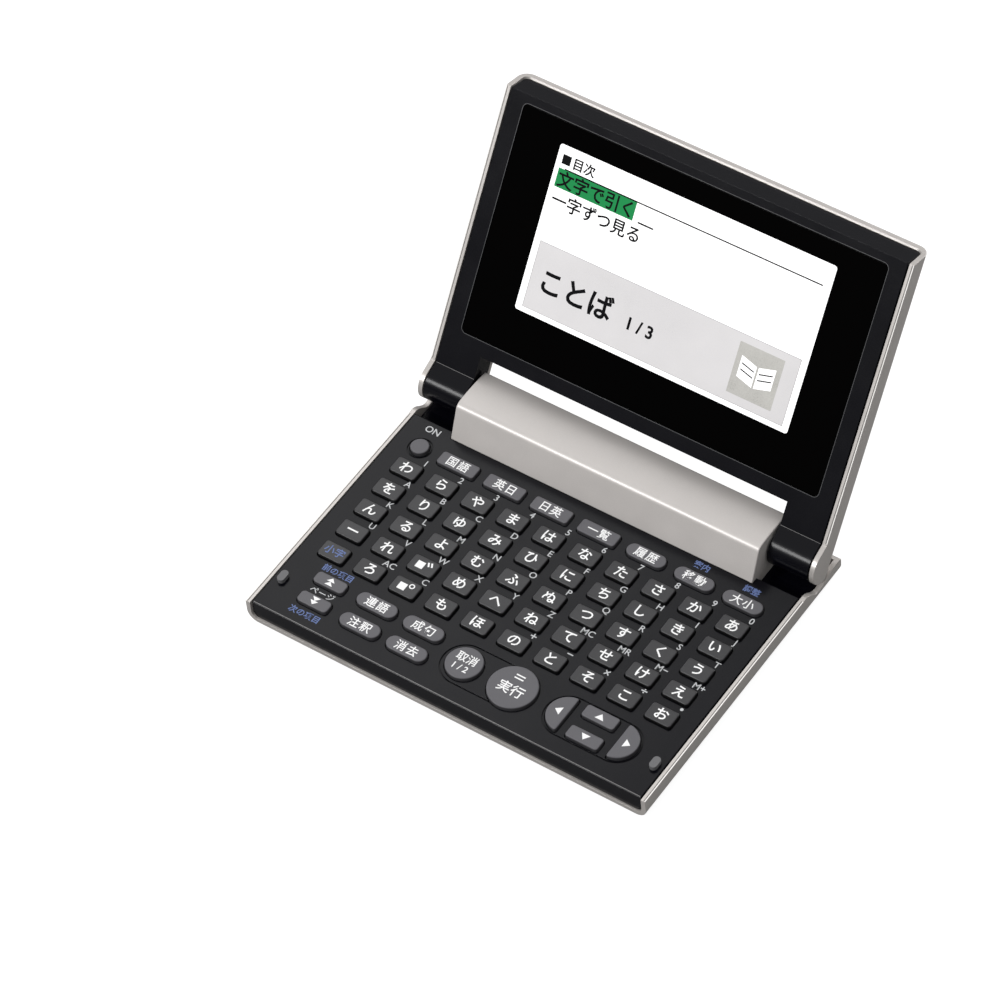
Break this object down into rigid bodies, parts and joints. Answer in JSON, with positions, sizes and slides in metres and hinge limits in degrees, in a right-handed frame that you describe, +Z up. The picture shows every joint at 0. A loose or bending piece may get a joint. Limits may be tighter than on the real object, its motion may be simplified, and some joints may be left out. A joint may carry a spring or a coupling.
{
  "type": "electronic dictionary",
  "caption": "Pocket electronic dictionary, opened flat on a table: syllable keyboard in the base, hinged lid with a wide screen, rounded spine.",
  "frame": {"origin": "middle of the open unit's bounding box, in the plane that the rubber feet stand on", "axes": "X along the hinge line to the right, Y to the back, Z up"},
  "size_m": [0.11, 0.1226, 0.0739],
  "materials": {
    "shell_metal": "fine blasted, anodised pale champagne",
    "spine_metal": "fine blasted, anodised pale champagne",
    "dark_plastic": "fine satin texture",
    "window_glass": "polished, printed black behind",
    "display_glass": "polished",
    "white_plastic": "smooth",
    "steel": "plain",
    "bearing_plastic": "smooth",
    "board_green": "solder resist",
    "chip_black": "moulded",
    "cable_black": "smooth",
    "mat_rubber": "matt",
    "cell_steel": "plain sleeve",
    "foot_rubber": "matt",
    "kana_key_plastic": "satin",
    "grey_key_plastic": "satin"
  },
  "bodies": {
    "base": {"base_shell": "shell_metal", "key_deck": "dark_plastic", "spine_housing": "spine_metal", "hinge_shaft_right": "steel", "hinge_shaft_left": "steel", "hinge_washers": "steel", "hinge_clips": "steel", "main_board": "board_green", "main_board_chips": "chip_black", "key_mat": "mat_rubber", "base_harness": "cable_black", "battery_cell": "cell_steel", "battery_contacts": "steel", "battery_spring": "steel", "case_screws": "steel", "rubber_feet": "foot_rubber", "lid_bumpers": "foot_rubber"},
    "lid": {"lid_shell": "shell_metal", "lid_bezel": "dark_plastic", "display_window": "window_glass", "lcd_panel": "display_glass", "backlight": "white_plastic", "lcd_frame": "steel", "lid_board": "board_green", "lid_board_chips": "chip_black", "lid_screws": "steel", "lid_harness": "cable_black", "hinge_bush_right": "bearing_plastic", "hinge_bush_left": "bearing_plastic"},
    "battery_door": {"battery_cover": "shell_metal"},
    "kana_keys_1_body": {"kana_keys_1": "kana_key_plastic"},
    "kana_keys_2_body": {"kana_keys_2": "kana_key_plastic"},
    "kana_keys_3_body": {"kana_keys_3": "kana_key_plastic"},
    "kana_keys_4_body": {"kana_keys_4": "kana_key_plastic"},
    "kana_keys_5_body": {"kana_keys_5": "kana_key_plastic"},
    "kana_keys_6_body": {"kana_keys_6": "kana_key_plastic"},
    "kana_keys_7_body": {"kana_keys_7": "kana_key_plastic"},
    "kana_keys_8_body": {"kana_keys_8": "kana_key_plastic"},
    "kana_keys_9_body": {"kana_keys_9": "kana_key_plastic"},
    "kana_keys_10_body": {"kana_keys_10": "kana_key_plastic"},
    "power_button_body": {"power_button": "grey_key_plastic"},
    "function_key_1_body": {"function_key_1": "grey_key_plastic"},
    "function_key_2_body": {"function_key_2": "grey_key_plastic"},
    "function_key_3_body": {"function_key_3": "grey_key_plastic"},
    "function_key_4_body": {"function_key_4": "grey_key_plastic"},
    "function_key_5_body": {"function_key_5": "grey_key_plastic"},
    "function_key_6_body": {"function_key_6": "grey_key_plastic"},
    "function_key_7_body": {"function_key_7": "grey_key_plastic"},
    "page_up_key_body": {"page_up_key": "grey_key_plastic"},
    "page_down_key_body": {"page_down_key": "grey_key_plastic"},
    "pill_key_1_body": {"pill_key_1": "grey_key_plastic"},
    "pill_key_2_body": {"pill_key_2": "grey_key_plastic"},
    "pill_key_3_body": {"pill_key_3": "grey_key_plastic"},
    "pill_key_4_body": {"pill_key_4": "grey_key_plastic"},
    "back_key_body": {"back_key": "grey_key_plastic"},
    "enter_key_body": {"enter_key": "grey_key_plastic"},
    "left_key_body": {"left_key": "grey_key_plastic"},
    "right_key_body": {"right_key": "grey_key_plastic"},
    "up_key_body": {"up_key": "grey_key_plastic"},
    "down_key_body": {"down_key": "grey_key_plastic"}
  },
  "joints": [
    {"name": "lid_hinge", "type": "hinge", "parent": "base", "child": "lid", "pos_m": [0, 0.01366, 0.01027], "axis": [1, 0, 0], "range_deg": [0, 124.1]},
    {"name": "battery_cover_slide", "type": "slide", "parent": "base", "child": "battery_door", "axis": [0, 1, 0], "range_m": [0, 0.008]},
    {"name": "kana_keys_1_press", "type": "slide", "parent": "base", "child": "kana_keys_1_body", "axis": [0, 0, 1], "range_m": [-0.0005, 0], "stiffness_N_per_m": 1000},
    {"name": "kana_keys_2_press", "type": "slide", "parent": "base", "child": "kana_keys_2_body", "axis": [0, 0, 1], "range_m": [-0.0005, 0], "stiffness_N_per_m": 1000},
    {"name": "kana_keys_3_press", "type": "slide", "parent": "base", "child": "kana_keys_3_body", "axis": [0, 0, 1], "range_m": [-0.0005, 0], "stiffness_N_per_m": 1000},
    {"name": "kana_keys_4_press", "type": "slide", "parent": "base", "child": "kana_keys_4_body", "axis": [0, 0, 1], "range_m": [-0.0005, 0], "stiffness_N_per_m": 1000},
    {"name": "kana_keys_5_press", "type": "slide", "parent": "base", "child": "kana_keys_5_body", "axis": [0, 0, 1], "range_m": [-0.0005, 0], "stiffness_N_per_m": 1000},
    {"name": "kana_keys_6_press", "type": "slide", "parent": "base", "child": "kana_keys_6_body", "axis": [0, 0, 1], "range_m": [-0.0005, 0], "stiffness_N_per_m": 1000},
    {"name": "kana_keys_7_press", "type": "slide", "parent": "base", "child": "kana_keys_7_body", "axis": [0, 0, 1], "range_m": [-0.0005, 0], "stiffness_N_per_m": 1000},
    {"name": "kana_keys_8_press", "type": "slide", "parent": "base", "child": "kana_keys_8_body", "axis": [0, 0, 1], "range_m": [-0.0005, 0], "stiffness_N_per_m": 1000},
    {"name": "kana_keys_9_press", "type": "slide", "parent": "base", "child": "kana_keys_9_body", "axis": [0, 0, 1], "range_m": [-0.0005, 0], "stiffness_N_per_m": 1000},
    {"name": "kana_keys_10_press", "type": "slide", "parent": "base", "child": "kana_keys_10_body", "axis": [0, 0, 1], "range_m": [-0.0005, 0], "stiffness_N_per_m": 1000},
    {"name": "power_button_press", "type": "slide", "parent": "base", "child": "power_button_body", "axis": [0, 0, 1], "range_m": [-0.0005, 0], "stiffness_N_per_m": 1000},
    {"name": "function_key_1_press", "type": "slide", "parent": "base", "child": "function_key_1_body", "axis": [0, 0, 1], "range_m": [-0.0005, 0], "stiffness_N_per_m": 1000},
    {"name": "function_key_2_press", "type": "slide", "parent": "base", "child": "function_key_2_body", "axis": [0, 0, 1], "range_m": [-0.0005, 0], "stiffness_N_per_m": 1000},
    {"name": "function_key_3_press", "type": "slide", "parent": "base", "child": "function_key_3_body", "axis": [0, 0, 1], "range_m": [-0.0005, 0], "stiffness_N_per_m": 1000},
    {"name": "function_key_4_press", "type": "slide", "parent": "base", "child": "function_key_4_body", "axis": [0, 0, 1], "range_m": [-0.0005, 0], "stiffness_N_per_m": 1000},
    {"name": "function_key_5_press", "type": "slide", "parent": "base", "child": "function_key_5_body", "axis": [0, 0, 1], "range_m": [-0.0005, 0], "stiffness_N_per_m": 1000},
    {"name": "function_key_6_press", "type": "slide", "parent": "base", "child": "function_key_6_body", "axis": [0, 0, 1], "range_m": [-0.0005, 0], "stiffness_N_per_m": 1000},
    {"name": "function_key_7_press", "type": "slide", "parent": "base", "child": "function_key_7_body", "axis": [0, 0, 1], "range_m": [-0.0005, 0], "stiffness_N_per_m": 1000},
    {"name": "page_up_key_press", "type": "slide", "parent": "base", "child": "page_up_key_body", "axis": [0, 0, 1], "range_m": [-0.0005, 0], "stiffness_N_per_m": 1000},
    {"name": "page_down_key_press", "type": "slide", "parent": "base", "child": "page_down_key_body", "axis": [0, 0, 1], "range_m": [-0.0005, 0], "stiffness_N_per_m": 1000},
    {"name": "pill_key_1_press", "type": "slide", "parent": "base", "child": "pill_key_1_body", "axis": [0, 0, 1], "range_m": [-0.0005, 0], "stiffness_N_per_m": 1000},
    {"name": "pill_key_2_press", "type": "slide", "parent": "base", "child": "pill_key_2_body", "axis": [0, 0, 1], "range_m": [-0.0005, 0], "stiffness_N_per_m": 1000},
    {"name": "pill_key_3_press", "type": "slide", "parent": "base", "child": "pill_key_3_body", "axis": [0, 0, 1], "range_m": [-0.0005, 0], "stiffness_N_per_m": 1000},
    {"name": "pill_key_4_press", "type": "slide", "parent": "base", "child": "pill_key_4_body", "axis": [0, 0, 1], "range_m": [-0.0005, 0], "stiffness_N_per_m": 1000},
    {"name": "back_key_press", "type": "slide", "parent": "base", "child": "back_key_body", "axis": [0, 0, 1], "range_m": [-0.0005, 0], "stiffness_N_per_m": 1000},
    {"name": "enter_key_press", "type": "slide", "parent": "base", "child": "enter_key_body", "axis": [0, 0, 1], "range_m": [-0.0005, 0], "stiffness_N_per_m": 1000},
    {"name": "left_key_press", "type": "slide", "parent": "base", "child": "left_key_body", "axis": [0, 0, 1], "range_m": [-0.0005, 0], "stiffness_N_per_m": 1000},
    {"name": "right_key_press", "type": "slide", "parent": "base", "child": "right_key_body", "axis": [0, 0, 1], "range_m": [-0.0005, 0], "stiffness_N_per_m": 1000},
    {"name": "up_key_press", "type": "slide", "parent": "base", "child": "up_key_body", "axis": [0, 0, 1], "range_m": [-0.0005, 0], "stiffness_N_per_m": 1000},
    {"name": "down_key_press", "type": "slide", "parent": "base", "child": "down_key_body", "axis": [0, 0, 1], "range_m": [-0.0005, 0], "stiffness_N_per_m": 1000}
  ]
}
